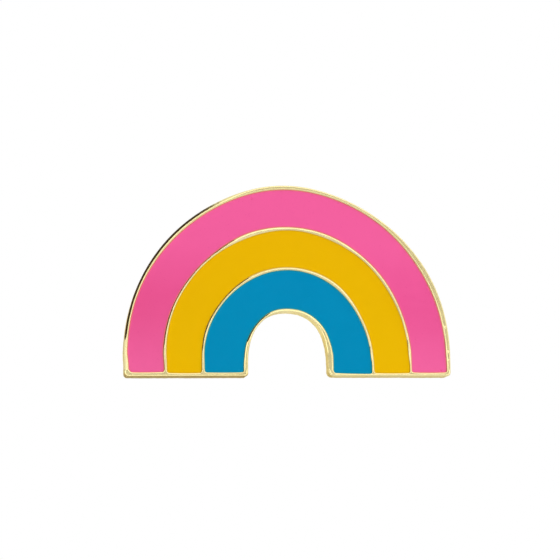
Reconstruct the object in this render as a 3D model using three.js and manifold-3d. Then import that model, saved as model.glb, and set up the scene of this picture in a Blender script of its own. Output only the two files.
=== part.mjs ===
// Rainbow-arch enamel pin with two posts and two butterfly clutches.
//
// Frame: millimetres, +Z up. The pin stands upright in the XZ plane with its
// enamelled face towards -Y. The flat back face lies in the plane Y = 0 and the
// posts stand out along +Y. The origin is on the back face, at the middle of
// the band, at the crown of the arch.
//
// Each outline of the arch is a cosine series in polar form about the arch
// centre, r(a) = sum c[k] cos(k a) for a from 0 (right foot) to pi (left foot),
// and runs straight down from there to the foot line.

import * as THREE from 'three';
import { mergeVertices } from 'three/addons/utils/BufferGeometryUtils.js';
import Module from 'manifold-3d';

const wasm = await Module();
wasm.setup();

// ---------------------------------------------------------------- dimensions
const CROWN_MID = 10.5;        // origin's height above the arch centre

// Outlines of the struck face, from the outside in, cosine series in mm
const OUTER      = [16.193,  0.024, -0.378,  0.050, -0.001, -0.010];
const PINK_OUT   = [15.743,  0.021, -0.408, -0.024,  0.049,  0.005];
const PINK_IN    = [12.263, -0.026, -0.298, -0.020,  0.049,  0.012];
const YELLOW_OUT = [11.889, -0.021, -0.272, -0.013,  0.028,  0.037];
const YELLOW_IN  = [ 8.492, -0.077, -0.241, -0.044,  0.036,  0.008];
const BLUE_OUT   = [ 8.054, -0.057, -0.226, -0.040,  0.059,  0.015];
const BLUE_IN    = [ 4.595,  0.072, -0.238,  0.019, -0.013, -0.010];
const INNER      = [ 4.145,  0.047, -0.308, -0.014, -0.016, -0.018];

const FOOT_Z = -1.82;          // bottom of the two feet, below the arch centre
const POCKET_Z = -1.42;        // bottom of the enamel pockets

const R_OUTER_FOOT = 0.50;     // corner radii
const R_INNER_FOOT = 0.55;
const R_POCKET = 0.22;

const STEPS = 60;              // facets along each outline, 3 degrees apart
const CROWN_FROM = 23;         // the crown runs from this step to its mirror

const BODY_T = 1.80;           // struck body, back face to the top of the rim
const POCKET_DEPTH = 0.60;     // enamel pocket below the rim
const ENAMEL_RECESS = 0.12;    // enamel surface below the rim
const ENAMEL_GAP = 0.02;       // clearance round and under each fill

// Posts
const POST_RING = 10.55;       // distance of each post from the arch centre
const POST_ANGLE = 36;         // degrees above the foot line
const POST_R = 0.58;
const POST_LEN = 8.0;          // tip above the back face
const POST_FLANGE_R = 1.45;
const POST_FLANGE_T = 0.30;
const POST_NECK_R = 0.44;      // groove that the clutch jaws snap into
const POST_TIP_R = 0.06;
const BACK_GAP = 0.01;         // face-to-face joints
const SOLDER_R = 1.95;
const SOLDER_T = 0.26;
const SOLDER_GAP = 0.02;

// Butterfly clutches
const CLOTH_GAP = 1.50;        // back face to the clutch's under face, at rest
const CUP_R = 5.30;            // cup, outside of the rolled rim
const CUP_SHEET = 0.34;
const CUP_RIM_H = 0.95;
const CUP_HOLE_R = 0.85;
const STRIP_T = 0.28;          // spring strip thickness
const STRIP_W = 4.40;          // spring strip width
const STRIP_HALF = 2.42;       // half length of the strip's floor
const STRIP_HOLE_R = 1.00;
const STRIP_RISE = 2.10;       // top of the strip's upturned ends
const PIVOT_U = 2.20;          // bend line of each wing
const PIVOT_H = 2.30;
const JAW_U = 0.60;            // jaw edge beside the post, at rest
const JAW_H = 1.25;
const WING_W = 4.20;           // wing width at the bend
const EAR_W = 5.60;            // width of the finger pad
const EAR_TOP = 5.55;
const EAR_U = 4.85;
const TAB_T = 0.34;            // crimp tabs folded over the strip
const TAB_W = 2.60;

// ------------------------------------------------------------------ materials
const gold = (name, color, roughness) => new THREE.MeshStandardMaterial({ name, color, roughness, metalness: 1.0 });
const GOLD = gold('plated_gold', 0xe9cf86, 0.24);
const GOLD_CLUTCH = gold('clutch_gold', 0xe2c173, 0.30);
const SOLDER = gold('solder', 0xcdbd95, 0.45);
const enamel = (name, color) => new THREE.MeshStandardMaterial({ name, color, roughness: 0.28, metalness: 0.0 });
const PINK = enamel('pink_enamel', 0xee5e97);
const YELLOW = enamel('yellow_enamel', 0xe7b702);
const BLUE = enamel('blue_enamel', 0x028bb6);

// -------------------------------------------------------------------- helpers
const rad = (d) => d * Math.PI / 180;

function series(c, a) {
  return c.reduce((s, ck, k) => s + ck * Math.cos(k * a), 0);
}

// Points along one outline from step i0 to step i1 of STEPS, anticlockwise from
// the right foot over the crown to the left foot
function arch(c, footZ, inset, i0, i1) {
  const pts = [];
  if (i0 === 0) pts.push([series(c, 0) + inset, footZ]);
  for (let i = i0; i <= i1; i++) {
    const a = Math.PI * i / STEPS;
    const r = series(c, a) + inset;
    pts.push([r * Math.cos(a), r * Math.sin(a)]);
  }
  if (i1 === STEPS) pts.push([-(series(c, Math.PI) + inset), footZ]);
  return pts;
}

// The band between an outer and an inner outline, or a stretch of it, with its
// foot corners rounded
function band(outer, inner, footZ, rOut, rIn, grow = 0, i0 = 0, i1 = STEPS) {
  const o = arch(outer, footZ - grow, grow, i0, i1);
  const n = arch(inner, footZ - grow, -grow, i0, i1).reverse();
  const loop = [...o, ...n];
  const radius = new Map();
  if (i0 === 0) { radius.set(0, rOut); radius.set(loop.length - 1, rIn); }
  if (i1 === STEPS) { radius.set(o.length - 1, rOut); radius.set(o.length, rIn); }
  const out = [];
  loop.forEach((p, i) => {
    const r = radius.get(i);
    if (!r) { out.push(p); return; }
    const a = loop[(i + loop.length - 1) % loop.length], b = loop[(i + 1) % loop.length];
    const ua = unit(a, p), ub = unit(b, p);
    const s = [p[0] + ua[0] * r, p[1] + ua[1] * r], e = [p[0] + ub[0] * r, p[1] + ub[1] * r];
    const c = [s[0] + ub[0] * r, s[1] + ub[1] * r];
    const n = 5;
    for (let k = 0; k <= n; k++) {
      const t = Math.PI / 2 * k / n;
      out.push([c[0] - ub[0] * r * Math.cos(t) - ua[0] * r * Math.sin(t),
                c[1] - ub[1] * r * Math.cos(t) - ua[1] * r * Math.sin(t)]);
    }
  });
  return out;
}
function unit(to, from) {
  const d = [to[0] - from[0], to[1] - from[1]], l = Math.hypot(...d);
  return [d[0] / l, d[1] / l];
}

// Extrude an XZ outline (given about the arch centre) from y0 to y1
function plate(points, y0, y1) {
  const shape = new THREE.Shape(points.map(([x, z]) => new THREE.Vector2(x, z - CROWN_MID)));
  const g = new THREE.ExtrudeGeometry(shape, { depth: y1 - y0, bevelEnabled: false });
  g.rotateX(Math.PI / 2);            // shape plane XY -> XZ, depth -> -Y
  g.translate(0, y1, 0);
  return g;
}

function closed(geometry) {
  const g = geometry.clone();
  g.deleteAttribute('normal');
  g.deleteAttribute('uv');
  return mergeVertices(g, 1e-4);
}
function solid(geometry) {
  const g = closed(geometry);
  const m = new wasm.Mesh({
    numProp: 3,
    vertProperties: new Float32Array(g.attributes.position.array),
    triVerts: new Uint32Array(g.index.array),
  });
  m.merge();
  return new wasm.Manifold(m);
}
function geometry(manifold) {
  const m = manifold.getMesh();
  const g = new THREE.BufferGeometry();
  g.setAttribute('position', new THREE.BufferAttribute(new Float32Array(m.vertProperties), 3));
  g.setIndex(new THREE.BufferAttribute(new Uint32Array(m.triVerts), 1));
  g.computeVertexNormals();
  return g;
}
function part(name, geo, material) {
  const mesh = new THREE.Mesh(geo, material);
  mesh.name = name;
  return mesh;
}
// Turn a profile given as [radius, height] about the Y axis
function turned(profile, segments) {
  return new THREE.LatheGeometry(profile.map(([r, h]) => new THREE.Vector2(r, h)), segments);
}
// A sheet bent along a line: offset polyline [u, h] of thickness t, extruded
// through the width w along the third axis
function bentSheet(line, t, w) {
  const up = [], down = [];
  line.forEach((p, i) => {
    const a = line[Math.max(0, i - 1)], b = line[Math.min(line.length - 1, i + 1)];
    const d = unit(b, a);
    let nx = -d[1], ny = d[0];
    let k = t / 2;
    if (i > 0 && i < line.length - 1) {
      const d1 = unit(p, a), d2 = unit(b, p);
      const cos = Math.max(0.6, Math.sqrt((1 + d1[0] * d2[0] + d1[1] * d2[1]) / 2));
      k /= cos;
    }
    up.push([p[0] + nx * k, p[1] + ny * k]);
    down.push([p[0] - nx * k, p[1] - ny * k]);
  });
  const pts = [...down, ...up.reverse()].map(([x, y]) => new THREE.Vector2(x, y));
  const g = new THREE.ExtrudeGeometry(new THREE.Shape(pts), { depth: w, bevelEnabled: false });
  g.translate(0, 0, -w / 2);
  return g;                            // u -> X, h -> Y, width -> Z
}
function box(u0, u1, h0, h1, v0, v1) {
  const g = new THREE.BoxGeometry(u1 - u0, h1 - h0, v1 - v0);
  g.translate((u0 + u1) / 2, (h0 + h1) / 2, (v0 + v1) / 2);
  return g;
}
function roundBar(r, h0, h1, segments) {
  const g = new THREE.CylinderGeometry(r, r, h1 - h0, segments);
  g.translate(0, (h0 + h1) / 2, 0);
  return g;
}

// ------------------------------------------------------------------------ pin
const pin = new THREE.Group();

const frontY = -BODY_T;
const floorY = frontY + POCKET_DEPTH;
// The slab is joined from a crown and two sides, so that the flat of the back at
// the crown has facets of its own
let body = null;
for (const [i0, i1] of [[0, CROWN_FROM], [CROWN_FROM, STEPS - CROWN_FROM], [STEPS - CROWN_FROM, STEPS]]) {
  const piece = solid(plate(band(OUTER, INNER, FOOT_Z, R_OUTER_FOOT, R_INNER_FOOT, 0, i0, i1), frontY, 0));
  body = body ? body.add(piece) : piece;
}
for (const [o, i] of [[PINK_OUT, PINK_IN], [YELLOW_OUT, YELLOW_IN], [BLUE_OUT, BLUE_IN]]) {
  body = body.subtract(solid(plate(band(o, i, POCKET_Z, R_POCKET, R_POCKET), frontY - 0.5, floorY)));
}
pin.add(part('struck_body', geometry(body), GOLD));

for (const [name, o, i, material] of [
  ['enamel_pink', PINK_OUT, PINK_IN, PINK],
  ['enamel_yellow', YELLOW_OUT, YELLOW_IN, YELLOW],
  ['enamel_blue', BLUE_OUT, BLUE_IN, BLUE],
]) {
  const fill = plate(band(o, i, POCKET_Z, R_POCKET, R_POCKET, -ENAMEL_GAP), frontY + ENAMEL_RECESS, floorY - ENAMEL_GAP);
  pin.add(part(name, closed(fill), material));
}

// Post: a flanged nail, soldered flange down on the back face
const postProfile = [
  [0, BACK_GAP], [POST_FLANGE_R - 0.08, BACK_GAP], [POST_FLANGE_R, 0.09], [POST_FLANGE_R, POST_FLANGE_T - 0.06],
  [POST_FLANGE_R - 0.10, POST_FLANGE_T], [POST_R + 0.16, POST_FLANGE_T], [POST_R, POST_FLANGE_T + 0.16],
  [POST_R, POST_LEN - 2.45], [POST_NECK_R, POST_LEN - 2.30], [POST_NECK_R, POST_LEN - 1.85],
  [POST_R, POST_LEN - 1.70], [POST_R, POST_LEN - 1.25], [POST_R * 0.72, POST_LEN - 0.70],
  [POST_TIP_R * 3, POST_LEN - 0.16], [POST_TIP_R, POST_LEN - 0.02], [0, POST_LEN],
];
// Solder: a fillet ring round the flange
const solderProfile = [
  [POST_FLANGE_R + SOLDER_GAP, BACK_GAP], [SOLDER_R, BACK_GAP], [SOLDER_R - 0.05, 0.05],
  [SOLDER_R - 0.22, 0.13], [POST_FLANGE_R + SOLDER_GAP + 0.04, SOLDER_T], [POST_FLANGE_R + SOLDER_GAP, SOLDER_T],
  [POST_FLANGE_R + SOLDER_GAP, BACK_GAP],
];

// Cup of a butterfly clutch: stamped disc with a rolled rim, a centre hole and
// two tabs folded over the spring strip
function makeCup() {
  const r = CUP_R, s = CUP_SHEET, e = CUP_RIM_H;
  let cup = solid(turned([
    [CUP_HOLE_R, 0.05], [CUP_HOLE_R + 0.08, 0], [r - 0.55, 0], [r - 0.20, 0.10], [r, 0.38], [r, e - 0.20],
    [r - 0.16, e], [r - 0.34, e], [r - 0.44, e - 0.16], [r - 0.40, 0.52], [r - 0.66, s],
    [CUP_HOLE_R, s], [CUP_HOLE_R, 0.05],
  ], 36));
  const v = STRIP_W / 2 + 0.06;
  for (const side of [1, -1]) {
    const post = box(-TAB_W / 2, TAB_W / 2, s - 0.12, s + STRIP_T + 0.10 + TAB_T, side > 0 ? v : -v - 0.34, side > 0 ? v + 0.34 : -v);
    const lip = box(-TAB_W / 2, TAB_W / 2, s + STRIP_T + 0.10, s + STRIP_T + 0.10 + TAB_T, side > 0 ? v - 0.78 : -v - 0.1, side > 0 ? v + 0.1 : -v + 0.78);
    cup = cup.add(solid(post)).add(solid(lip));
  }
  return geometry(cup);
}

// Spring strip: floor with a hole for the post, ends turned up towards the
// wings' bend lines
function makeStrip() {
  const h = CUP_SHEET + 0.04 + STRIP_T / 2, w = STRIP_HALF;
  const line = [[-w + 0.06, STRIP_RISE], [-w, 1.25], [-w + 0.06, h + 0.24], [-w + 0.28, h],
                [w - 0.28, h], [w - 0.06, h + 0.24], [w, 1.25], [w - 0.06, STRIP_RISE]];
  let strip = solid(bentSheet(line, STRIP_T, STRIP_W));
  strip = strip.subtract(solid(roundBar(STRIP_HOLE_R, -1, 3, 20)));
  return geometry(strip);
}

// Wing: ear for the finger above the bend line, jaw beside the post below it
function makeWing() {
  const line = [
    [JAW_U + STRIP_T / 2, JAW_H], [JAW_U + 0.22, 1.45], [1.10, 1.90], [1.62, 2.22], [PIVOT_U, PIVOT_H],
    [2.78, 2.44], [3.26, 2.82], [3.62, 3.42], [3.96, 4.20], [4.32, 4.92], [EAR_U, EAR_TOP],
  ];
  const profile = solid(bentSheet(line, STRIP_T, 8));
  // Face-on outline of the unrolled wing against height: jaw tongue, waist, ear
  const half = [
    [0.80, JAW_H - 0.4], [0.80, 1.55], [1.35, 1.90], [WING_W / 2, 2.05], [WING_W / 2, 2.60],
    [EAR_W / 2 - 0.25, 3.10], [EAR_W / 2, 3.70], [EAR_W / 2, 4.35], [EAR_W / 2 - 0.28, 4.95], [EAR_W / 2 - 0.95, 5.38],
    [0.90, EAR_TOP - 0.02], [0.45, EAR_TOP + 0.2],
  ];
  const pts = [...half, ...half.map(([v, h]) => [-v, h]).reverse()].map(([v, h]) => new THREE.Vector2(v, h));
  const face = new THREE.ExtrudeGeometry(new THREE.Shape(pts), { depth: 8, bevelEnabled: false });
  face.rotateY(Math.PI / 2);           // v -> Z, depth -> X
  return geometry(profile.intersect(solid(face)));
}

const cupGeometry = makeCup();
const stripGeometry = makeStrip();
const wingGeometry = makeWing();

for (const [side, sign] of [['left', -1], ['right', 1]]) {
  const a = rad(POST_ANGLE);
  const station = new THREE.Group();
  station.position.set(sign * POST_RING * Math.cos(a), 0, POST_RING * Math.sin(a) - CROWN_MID);

  station.add(part(`post_${side}`, closed(turned(postProfile, 16)), GOLD));
  station.add(part(`solder_${side}`, closed(turned(solderProfile, 20)), SOLDER));

  // Clutch: its strip lies along the arch, at right angles to the radius
  const clutch = new THREE.Group();
  clutch.position.y = CLOTH_GAP;
  clutch.rotation.y = sign > 0 ? Math.PI / 2 - a : Math.PI / 2 + a;
  clutch.add(part(`clutch_cup_${side}`, cupGeometry, GOLD_CLUTCH));
  clutch.add(part(`clutch_strip_${side}`, stripGeometry, GOLD_CLUTCH));
  const wingA = part(`clutch_wing_a_${side}`, wingGeometry, GOLD_CLUTCH);
  clutch.add(wingA);
  const wingB = part(`clutch_wing_b_${side}`, wingGeometry, GOLD_CLUTCH);
  wingB.rotation.y = Math.PI;
  clutch.add(wingB);
  station.add(clutch);
  pin.add(station);
}

export default pin;
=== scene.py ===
# Looks of the rainbow enamel pin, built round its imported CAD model.
# Lengths below are in millimetres about the arch centre unless a name ends in _m;
# MM turns them into metres and CM is the origin's height above the arch centre.
import math

import bmesh
import bpy
import numpy as np
from mathutils import Matrix, Vector, kdtree
from mathutils.geometry import delaunay_2d_cdt


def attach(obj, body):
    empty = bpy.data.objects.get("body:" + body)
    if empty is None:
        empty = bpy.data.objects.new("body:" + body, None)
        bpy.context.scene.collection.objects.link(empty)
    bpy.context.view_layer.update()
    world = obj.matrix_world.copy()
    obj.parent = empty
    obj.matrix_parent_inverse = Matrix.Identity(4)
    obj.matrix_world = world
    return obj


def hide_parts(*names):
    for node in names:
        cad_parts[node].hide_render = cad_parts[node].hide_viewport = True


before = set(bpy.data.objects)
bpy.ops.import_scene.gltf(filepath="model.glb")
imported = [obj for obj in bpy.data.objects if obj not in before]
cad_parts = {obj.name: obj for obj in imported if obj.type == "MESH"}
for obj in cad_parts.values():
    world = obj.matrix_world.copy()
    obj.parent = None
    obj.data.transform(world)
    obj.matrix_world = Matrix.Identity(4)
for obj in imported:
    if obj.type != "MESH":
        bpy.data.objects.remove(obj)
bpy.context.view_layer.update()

MM = 0.001
CM = 10.5

# ------------------------------------------------------------ sizes from the CAD
# Outlines of the finished surface as cosine series, r(a) = sum c[k] cos(k a). Each
# follows the CAD's outline of that name to about a tenth of a millimetre.
OUTER = [16.1639, 0.0314, -0.3704, 0.0377, 0.0399, -0.0156, -0.0489, -0.0040, 0.0083, -0.0056, -0.0086]
PINK_OUT = [15.7505, -0.0300, -0.3946, -0.0106, 0.0558, 0.0125, -0.0321, 0.0204, 0.0030, -0.0038, -0.0098]
PINK_IN = [12.2299, -0.0207, -0.3214, -0.0378, 0.0770, -0.0031, -0.0029, 0.0251, -0.0096, 0.0097, 0.0115]
YELLOW_OUT = [11.9201, -0.0323, -0.2647, -0.0178, 0.0440, 0.0267, -0.0185, 0.0117, 0.0159, 0.0075, -0.0179]
YELLOW_IN = [8.4321, -0.0549, -0.2301, -0.0583, 0.0534, 0.0125, 0.0276, 0.0298, -0.0068, 0.0097, -0.0079]
BLUE_OUT = [8.1248, -0.0574, -0.2033, -0.0339, 0.0717, 0.0221, 0.0107, 0.0117, 0.0083, 0.0040, 0.0014]
BLUE_IN = [4.4748, 0.0443, -0.2209, -0.0035, 0.0060, -0.0133, 0.0140, 0.0130, -0.0038, 0.0048, 0.0091]
INNER = [4.1341, -0.0092, -0.2968, -0.0211, -0.0282, -0.0056, 0.0190, 0.0050, -0.0028, -0.0031, 0.0081]
# The four foot corners of each outline, in the order right outer, right inner, left
# inner, left outer: height about the arch centre, corner radius, and how far the
# foot steps along x from the arch's own end
FOOT = (-1.823, -1.832, -1.866, -1.908), (0.40, 0.54, 0.34, 0.40), (0.000, 0.050, -0.040, 0.050)
PINK_FOOT = (-1.448, -1.448, -1.440, -1.466), (0.20, 0.20, 0.20, 0.40), (0.060, 0.010, 0.095, 0.125)
YELLOW_FOOT = (-1.505, -1.505, -1.518, -1.518), (0.20, 0.20, 0.20, 0.20), (0.125, 0.095, -0.015, 0.055)
BLUE_FOOT = (-1.585, -1.500, -1.450, -1.468), (0.20, 0.20, 0.20, 0.20), (0.115, 0.022, -0.090, 0.020)
BODY_T, POCKET_DEPTH = 1.80, 0.60
POST_RING, POST_ANGLE = 10.55, math.radians(36)
POST_R, POST_LEN, POST_FLANGE_R, POST_FLANGE_T, POST_NECK_R = 0.58, 8.0, 1.45, 0.30, 0.44
SOLDER_R = 1.95
CLOTH_GAP = 1.50
CUP_R, CUP_SHEET, CUP_RIM_H, CUP_HOLE_R = 5.30, 0.34, 0.95, 0.85
STRIP_T, STRIP_W, STRIP_HALF, STRIP_HOLE_R, STRIP_RISE = 0.28, 4.40, 2.42, 1.00, 2.10
PIVOT_U, PIVOT_H, JAW_U, JAW_H = 2.20, 2.30, 0.60, 1.25
WING_W, EAR_W, EAR_TOP, EAR_U = 4.20, 5.60, 5.55, 4.85
TAB_T, TAB_W = 0.34, 2.60

# ------------------------------------------------------------------------ camera
# A long lens a little below and to the left of the pin, 191.6 mm away.
YAW, PITCH, ROLL = math.radians(8.687), math.radians(8.454), math.radians(-0.805)
CAM_DIST = 191.6
CAM_TARGET = (-0.736, -1.8, 7.424 - CM)


def cam_axes():
    def turn(v):
        x, y, z = v
        x, y = x * math.cos(ROLL) - y * math.sin(ROLL), x * math.sin(ROLL) + y * math.cos(ROLL)
        y, z = y * math.cos(PITCH) + z * math.sin(PITCH), -y * math.sin(PITCH) + z * math.cos(PITCH)
        x, z = x * math.cos(YAW) + z * math.sin(YAW), -x * math.sin(YAW) + z * math.cos(YAW)
        return Vector((x, z, y))  # right, into the scene, up
    return turn((1, 0, 0)), turn((0, 1, 0)), turn((0, 0, 1))


right, up, ahead = cam_axes()
cam_data = bpy.data.cameras.new("camera")
cam_data.sensor_width = 36.0
cam_data.lens = 2000 * 36.0 / 560
cam_data.clip_start, cam_data.clip_end = 0.01, 5.0
cam = bpy.data.objects.new("camera", cam_data)
bpy.context.scene.collection.objects.link(cam)
place = (Vector(CAM_TARGET) - ahead * CAM_DIST) * MM
cam.matrix_world = Matrix((
    (right.x, up.x, -ahead.x, place.x),
    (right.y, up.y, -ahead.y, place.y),
    (right.z, up.z, -ahead.z, place.z),
    (0, 0, 0, 1)))
bpy.context.scene.camera = cam

# ------------------------------------------------------------------- small tools
rng = np.random.default_rng(7)


def series(c, a):
    return sum(ck * np.cos(k * a) for k, ck in enumerate(c))


def resample(pts, ds, closed=True):
    p = np.asarray(pts, float)
    if closed:
        p = np.vstack([p, p[:1]])
    seg = np.hypot(*np.diff(p, axis=0).T)
    keep = np.r_[True, seg > 1e-9]
    p = p[keep]
    s = np.r_[0, np.cumsum(np.hypot(*np.diff(p, axis=0).T))]
    n = max(8, int(round(s[-1] / ds)))
    t = np.linspace(0, s[-1], n + 1)
    q = np.c_[np.interp(t, s, p[:, 0]), np.interp(t, s, p[:, 1])]
    return q[:-1] if closed else q


def round_corners(loop, radius):
    """loop with the corners named in radius {index: r} made round."""
    out = []
    n = len(loop)
    for i, p in enumerate(loop):
        r = radius.get(i)
        if not r:
            out.append(p)
            continue
        a, b = np.array(loop[(i - 1) % n]), np.array(loop[(i + 1) % n])
        p = np.array(p)
        ua, ub = (a - p) / np.linalg.norm(a - p), (b - p) / np.linalg.norm(b - p)
        c = p + ua * r + ub * r
        for k in range(13):
            t = math.pi / 2 * k / 12
            out.append(c - ub * r * math.cos(t) - ua * r * math.sin(t))
    return out


def band_loop(outer, inner, feet, ds, sag=0.03, dent=0.0):
    """The band between two outlines as one closed, evenly spaced loop, anticlockwise as seen from the front."""
    height, radius, step = feet
    a = np.linspace(0, math.pi, 721)
    ro, ri = series(outer, a), series(inner, a)
    # the dividers' left shoulders are a little fuller than the curves
    ri = ri + dent * np.exp(-(((np.degrees(a) - 134) / 11) ** 2))
    o = [(ro[0], height[0])] + list(zip(ro * np.cos(a), ro * np.sin(a))) + [(-ro[-1], height[3])]
    i = [(-ri[-1], height[2])] + list(zip((ri * np.cos(a))[::-1], (ri * np.sin(a))[::-1])) + [(ri[0], height[1])]
    loop = o + i
    corners = {0: radius[0], len(loop) - 1: radius[1], len(o): radius[2], len(o) - 1: radius[3]}
    p = resample(round_corners(loop, corners), ds)
    # the legs lean a little towards their feet
    t = np.clip((0.6 - p[:, 1]) / 1.5, 0, 1)
    t = t * t * (3 - 2 * t)
    right_leg = np.interp(p[:, 0], (ri[0], ro[0]), (step[1], step[0]))
    left_leg = np.interp(-p[:, 0], (ri[-1], ro[-1]), (step[2], step[3]))
    p[:, 0] += t * np.where(p[:, 0] > 0, right_leg, left_leg)
    # and a stripe's foot sags a little in the middle
    across = np.where(p[:, 0] > 0, (p[:, 0] - ri[0]) / (ro[0] - ri[0]), (-p[:, 0] - ri[-1]) / (ro[-1] - ri[-1]))
    p[:, 1] -= sag * np.clip((-1.1 - p[:, 1]) / 0.2, 0, 1) * np.clip(4 * across * (1 - across), 0, 1)
    return resample(p, ds)


def loop_normals(p):
    """Outward normals of an anticlockwise loop."""
    t = np.roll(p, -1, 0) - np.roll(p, 1, 0)
    t /= np.hypot(*t.T)[:, None]
    return np.c_[t[:, 1], -t[:, 0]]


class Field:
    """Signed distance to a closed loop, above 0 inside it, and the place along it."""

    def __init__(self, loop):
        self.p = loop
        self.tree = kdtree.KDTree(len(loop))
        for i, q in enumerate(loop):
            self.tree.insert((q[0], q[1], 0), i)
        self.tree.balance()

    def near(self, q):
        return np.array([self.tree.find((x, y, 0))[1] for x, y in q])

    def __call__(self, q):
        q = np.asarray(q, float)
        i = self.near(q)
        n = len(self.p)
        best, sign = np.full(len(q), 1e9), np.ones(len(q))
        for a, b in ((i - 1) % n, i), (i, (i + 1) % n):
            pa, pb = self.p[a], self.p[b]
            d = pb - pa
            t = np.clip(((q - pa) * d).sum(1) / (d * d).sum(1), 0, 1)
            c = pa + d * t[:, None]
            r = np.hypot(*(q - c).T)
            cross = d[:, 0] * (q - pa)[:, 1] - d[:, 1] * (q - pa)[:, 0]
            better = r < best - 1e-9
            best = np.where(better, r, best)
            sign = np.where(better, np.sign(cross), sign)
        return best * np.where(sign == 0, 1, sign)


def lattice_noise(x, y, seed, wrap=None):
    """Smooth value noise of two coordinates, from -1 to 1. wrap repeats it along x."""
    g = np.random.default_rng(seed).uniform(-1, 1, (257, 257))
    xi, yi = np.floor(x).astype(int), np.floor(y).astype(int)
    fx, fy = x - xi, y - yi
    fx, fy = fx * fx * (3 - 2 * fx), fy * fy * (3 - 2 * fy)
    m = (lambda v: np.mod(v, wrap)) if wrap else (lambda v: np.mod(v, 257))
    x0, x1, y0, y1 = m(xi), m(xi + 1), np.mod(yi, 257), np.mod(yi + 1, 257)
    return ((g[x0, y0] * (1 - fx) + g[x1, y0] * fx) * (1 - fy)
            + (g[x0, y1] * (1 - fx) + g[x1, y1] * fx) * fy)


def cdt_inside(points, loop_len):
    """Delaunay triangles of points, the first loop_len of which are a closed boundary loop, kept where they lie inside it."""
    edges = [(i, (i + 1) % loop_len) for i in range(loop_len)]
    res = delaunay_2d_cdt([Vector((float(x), float(y))) for x, y in points], edges, [], 1, 1e-7)
    verts = np.array([(v.x, v.y) for v in res[0]])
    tris = np.array([list(f) for f in res[2]])
    back = res[3]  # original vertices of each output vertex
    first = np.full(len(points), -1)
    for new, olds in enumerate(back):
        for o in olds:
            first[o] = new
    return verts, tris, first


def to_row(x, z, depth):
    """Arch-centre x, z and depth below the rim top to the row frame, in metres."""
    return np.c_[x, -BODY_T + depth, z - CM] * MM


def make_mesh(name, verts, faces, smooth=True):
    me = bpy.data.meshes.new(name)
    me.from_pydata([tuple(v) for v in verts], [], [tuple(int(i) for i in f) for f in faces])
    me.validate()
    bm = bmesh.new()
    bm.from_mesh(me)
    bmesh.ops.remove_doubles(bm, verts=bm.verts, dist=2e-8)
    loose = [v for v in bm.verts if not v.link_faces]
    bmesh.ops.delete(bm, geom=loose, context="VERTS")
    bmesh.ops.recalc_face_normals(bm, faces=bm.faces)
    bm.to_mesh(me)
    bm.free()
    if smooth:
        me.shade_smooth()
    ob = bpy.data.objects.new(name, me)
    bpy.context.scene.collection.objects.link(ob)
    return ob


def shoulder(d, flat, r, slope):
    """Shoulder of a struck line: a straight bevel from d = 0 to flat, then rounded over until d = r."""
    e = np.clip((r - np.maximum(d, flat)) / (r - flat), 0, 1)
    return slope * ((r - flat) / 2 * e * e + np.maximum(flat - d, 0))


# ---------------------------------------------------------- struck body, in metal
DS = 0.075
out_loop = band_loop(OUTER, INNER, FOOT, DS, 0)
# both legs stand a hair inside the outer curve's first fit
lean = np.degrees(np.arctan2(np.maximum(out_loop[:, 1], 0), np.abs(out_loop[:, 0])))
tuck = np.where(out_loop[:, 0] > 0, -0.044 * np.clip((34 - lean) / 18, 0, 1), 0.020 * np.clip((22 - lean) / 8, 0, 1))
out_loop[:, 0] += np.where(np.hypot(*out_loop.T) > 9, tuck, 0)
pockets = {
    "pink": band_loop(PINK_OUT, PINK_IN, PINK_FOOT, DS, dent=0.034),
    "yellow": band_loop(YELLOW_OUT, YELLOW_IN, YELLOW_FOOT, DS, dent=0.020),
    "blue": band_loop(BLUE_OUT, BLUE_IN, BLUE_FOOT, DS),
}
out_field = Field(out_loop)
pocket_fields = {k: Field(v) for k, v in pockets.items()}

# Shoulders as (straight bevel, width, slope): left half of the arch, right half, left
# leg's lower end, right leg's lower end, along the feet
SHOULDER_P = (0.088, 0.186, 0.88), (0.070, 0.165, 0.80), (0.035, 0.120, 0.82), (0.050, 0.150, 0.48), (0.040, 0.120, 0.40)
SHOULDER_R = (0.050, 0.180, 0.86), (0.055, 0.150, 0.75), (0.050, 0.180, 0.60), (0.050, 0.190, 0.56), (0.020, 0.075, 0.55)
SHOULDER_O = (0.160, 0.285, 1.02), (0.020, 0.070, 1.00), (0.160, 0.285, 0.39), (0.020, 0.070, 1.00), (0.055, 0.190, 0.42)
SHOULDER_I = (0.095, 0.195, 0.92), (0.050, 0.190, 0.75), (0.060, 0.180, 0.38), (0.050, 0.190, 0.75), (0.020, 0.075, 0.55)
SHOULDER_H = (0.045, 0.130, 0.95), (0.030, 0.105, 0.36), (0.045, 0.130, 0.95), (0.010, 0.045, 0.38), (0.070, 0.240, 0.42)
# P: each side of the two dividers, R and I: the outer and the inner rim's side at the
# enamel, O and H: the outer rim's edge and the edge at the opening
BACK_RECESS = 0.05
STEEP_W, STEEP_H = 0.022, 0.014                          # the steeper foot of every enamel side
NICKS = ((15.36, 2.94, 0.07, 0.026), (15.58, 0.54, 0.07, 0.028), (15.62, -0.31, 0.06, 0.026))


def smooth(t):
    t = np.clip(t, 0, 1)
    return t * t * (3 - 2 * t)


def bearing(q):
    """Angle of each place round the arch in degrees, 0 on the right leg and 180 on the left."""
    return np.degrees(np.arctan2(np.maximum(q[:, 1], 0.0), q[:, 0]))


def varied(d, sets, q, leg_from=170, turn=0):
    b = bearing(q)
    left, low_left, low_right = smooth((b - turn - 96) / 22), smooth((b - leg_from) / 5), smooth((9 - b) / 7)
    foot = smooth((-1.15 - q[:, 1]) / 0.2)
    size = []
    for at_left, at_right, at_left_leg, at_right_leg, at_foot in zip(*sets):
        v = at_left * left + at_right * (1 - left)
        v = v + (at_left_leg - v) * low_left
        v = v + (at_right_leg - v) * low_right
        size.append(v + (at_foot - v) * foot)
    return shoulder(d, *size)


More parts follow.
